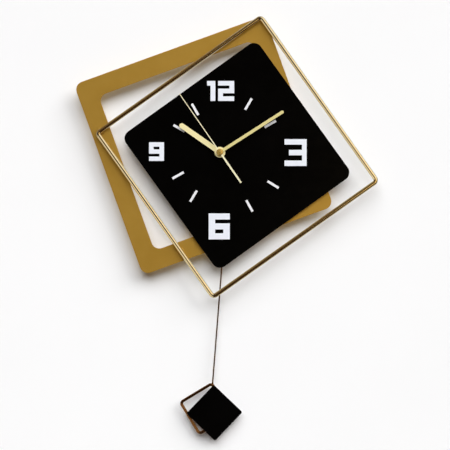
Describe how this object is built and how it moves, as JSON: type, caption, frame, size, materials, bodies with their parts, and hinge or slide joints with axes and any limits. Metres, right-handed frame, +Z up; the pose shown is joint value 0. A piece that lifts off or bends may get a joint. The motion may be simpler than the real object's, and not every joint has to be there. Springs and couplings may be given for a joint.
{
  "type": "pendulum wall clock",
  "caption": "Square pendulum wall clock: tilted dial on a flat ring frame and a round-wire square, with three hands, quartz movement and a swinging bob.",
  "frame": {"origin": "centre of the round hanging hole, on the wall plane", "axes": "+Z up, +X to the right of someone facing the clock, +Y into the wall, so the dial faces -Y"},
  "size_m": [0.4549, 0.0348, 0.64],
  "materials": {
    "dial_black": "satin black acrylic sheet",
    "marking_white": "satin white acrylic sheet",
    "frame_gold": "satin gold",
    "wire_gold": "polished, brass plated",
    "hand_gold": "satin, pale gold anodised",
    "brass_fitting": "turned",
    "zinc_steel": "zinc plated",
    "black_rubber": "matt",
    "foam_pad": "double-sided foam tape",
    "case_black": "fine texture",
    "gear_white": "moulded acetal",
    "copper_wire": "enamelled winding",
    "board_green": "solder resist",
    "cell_jacket": "plain printed jacket",
    "magnet_dark": "sintered ferrite"
  },
  "bodies": {
    "clock_body": {"dial_panel": "dial_black", "numeral_twelve": "marking_white", "numeral_three": "marking_white", "numeral_six": "marking_white", "numeral_nine": "marking_white", "hour_markers": "marking_white", "rear_frame": "frame_gold", "wire_square": "wire_gold", "weld_beads": "wire_gold", "dial_pads": "foam_pad", "hanger_bracket": "zinc_steel", "rubber_washer": "black_rubber", "nut_washer": "brass_fitting", "hex_nut": "brass_fitting", "centre_bush": "brass_fitting", "movement_case": "case_black", "movement_cover": "case_black", "gear_plate": "gear_white", "stator": "zinc_steel", "coil_bobbin": "gear_white", "coil_winding": "copper_wire", "circuit_board": "board_green", "chip_cap": "case_black", "quartz_crystal": "zinc_steel", "battery": "cell_jacket", "battery_contacts": "zinc_steel", "drive_case": "case_black", "drive_cover": "case_black", "drive_pad": "foam_pad", "drive_board": "board_green", "drive_coil": "copper_wire", "drive_battery": "cell_jacket", "drive_contacts": "zinc_steel", "pivot_pin": "zinc_steel"},
    "minute_hand_arbor": {"minute_pipe": "brass_fitting", "minute_hand": "hand_gold", "minute_collet": "brass_fitting"},
    "hour_hand_pipe": {"hour_wheel": "gear_white", "hour_hand": "hand_gold", "hour_collet": "brass_fitting"},
    "motion_wheel": {"motion_wheel": "gear_white"},
    "setting_knob": {"setting_knob": "case_black"},
    "second_hand_arbor": {"second_wheel": "gear_white", "second_arbor": "zinc_steel", "second_hand": "hand_gold"},
    "third_wheel": {"third_wheel": "gear_white"},
    "centre_wheel": {"centre_wheel": "gear_white"},
    "fifth_wheel": {"fifth_wheel": "gear_white"},
    "rotor": {"rotor_pinion": "gear_white", "rotor_magnet": "magnet_dark"},
    "pendulum": {"swing_arm": "zinc_steel", "arm_magnet": "magnet_dark", "hook_pin": "brass_fitting", "pendulum_rod": "wire_gold", "bob_wire": "wire_gold", "bob_plate": "dial_black"}
  },
  "joints": [
    {"name": "minute_hand_turn", "type": "hinge", "parent": "clock_body", "child": "minute_hand_arbor", "pos_m": [0, -0.0314, -0.036], "axis": [0, 1, 0], "continuous": true},
    {"name": "hour_hand_turn", "type": "hinge", "parent": "clock_body", "child": "hour_hand_pipe", "pos_m": [0, -0.0294, -0.036], "axis": [0, 1, 0], "continuous": true},
    {"name": "motion_wheel_turn", "type": "hinge", "parent": "clock_body", "child": "motion_wheel", "pos_m": [0.00902, -0.0138, -0.03272], "axis": [0, 1, 0], "continuous": true},
    {"name": "setting_knob_turn", "type": "hinge", "parent": "clock_body", "child": "setting_knob", "pos_m": [0.01804, -0.0004, -0.02943], "axis": [0, 1, 0], "continuous": true},
    {"name": "second_hand_turn", "type": "hinge", "parent": "clock_body", "child": "second_hand_arbor", "pos_m": [0, -0.0334, -0.036], "axis": [0, 1, 0], "continuous": true},
    {"name": "third_wheel_turn", "type": "hinge", "parent": "clock_body", "child": "third_wheel", "pos_m": [-0.00935, -0.0106, -0.0306], "axis": [0, 1, 0], "continuous": true},
    {"name": "centre_wheel_turn", "type": "hinge", "parent": "clock_body", "child": "centre_wheel", "pos_m": [0, -0.0122, -0.036], "axis": [0, 1, 0], "continuous": true},
    {"name": "fifth_wheel_turn", "type": "hinge", "parent": "clock_body", "child": "fifth_wheel", "pos_m": [0, -0.0074, -0.02475], "axis": [0, 1, 0], "continuous": true},
    {"name": "rotor_turn", "type": "hinge", "parent": "clock_body", "child": "rotor", "pos_m": [0.00801, -0.0104, -0.02101], "axis": [0, 1, 0], "continuous": true},
    {"name": "pendulum_swing", "type": "hinge", "parent": "clock_body", "child": "pendulum", "pos_m": [0.0123, -0.0091, -0.088], "axis": [0, -1, 0], "range_deg": [-1, 10]}
  ],
  "couplings": [
    {"joint": "hour_hand_turn", "follows": "minute_hand_turn", "ratio": 0.083333},
    {"joint": "motion_wheel_turn", "follows": "minute_hand_turn", "ratio": -0.33333},
    {"joint": "setting_knob_turn", "follows": "minute_hand_turn", "ratio": 1},
    {"joint": "third_wheel_turn", "follows": "second_hand_turn", "ratio": -0.13333},
    {"joint": "centre_wheel_turn", "follows": "second_hand_turn", "ratio": 0.016667},
    {"joint": "fifth_wheel_turn", "follows": "second_hand_turn", "ratio": -4},
    {"joint": "rotor_turn", "follows": "second_hand_turn", "ratio": 30}
  ]
}
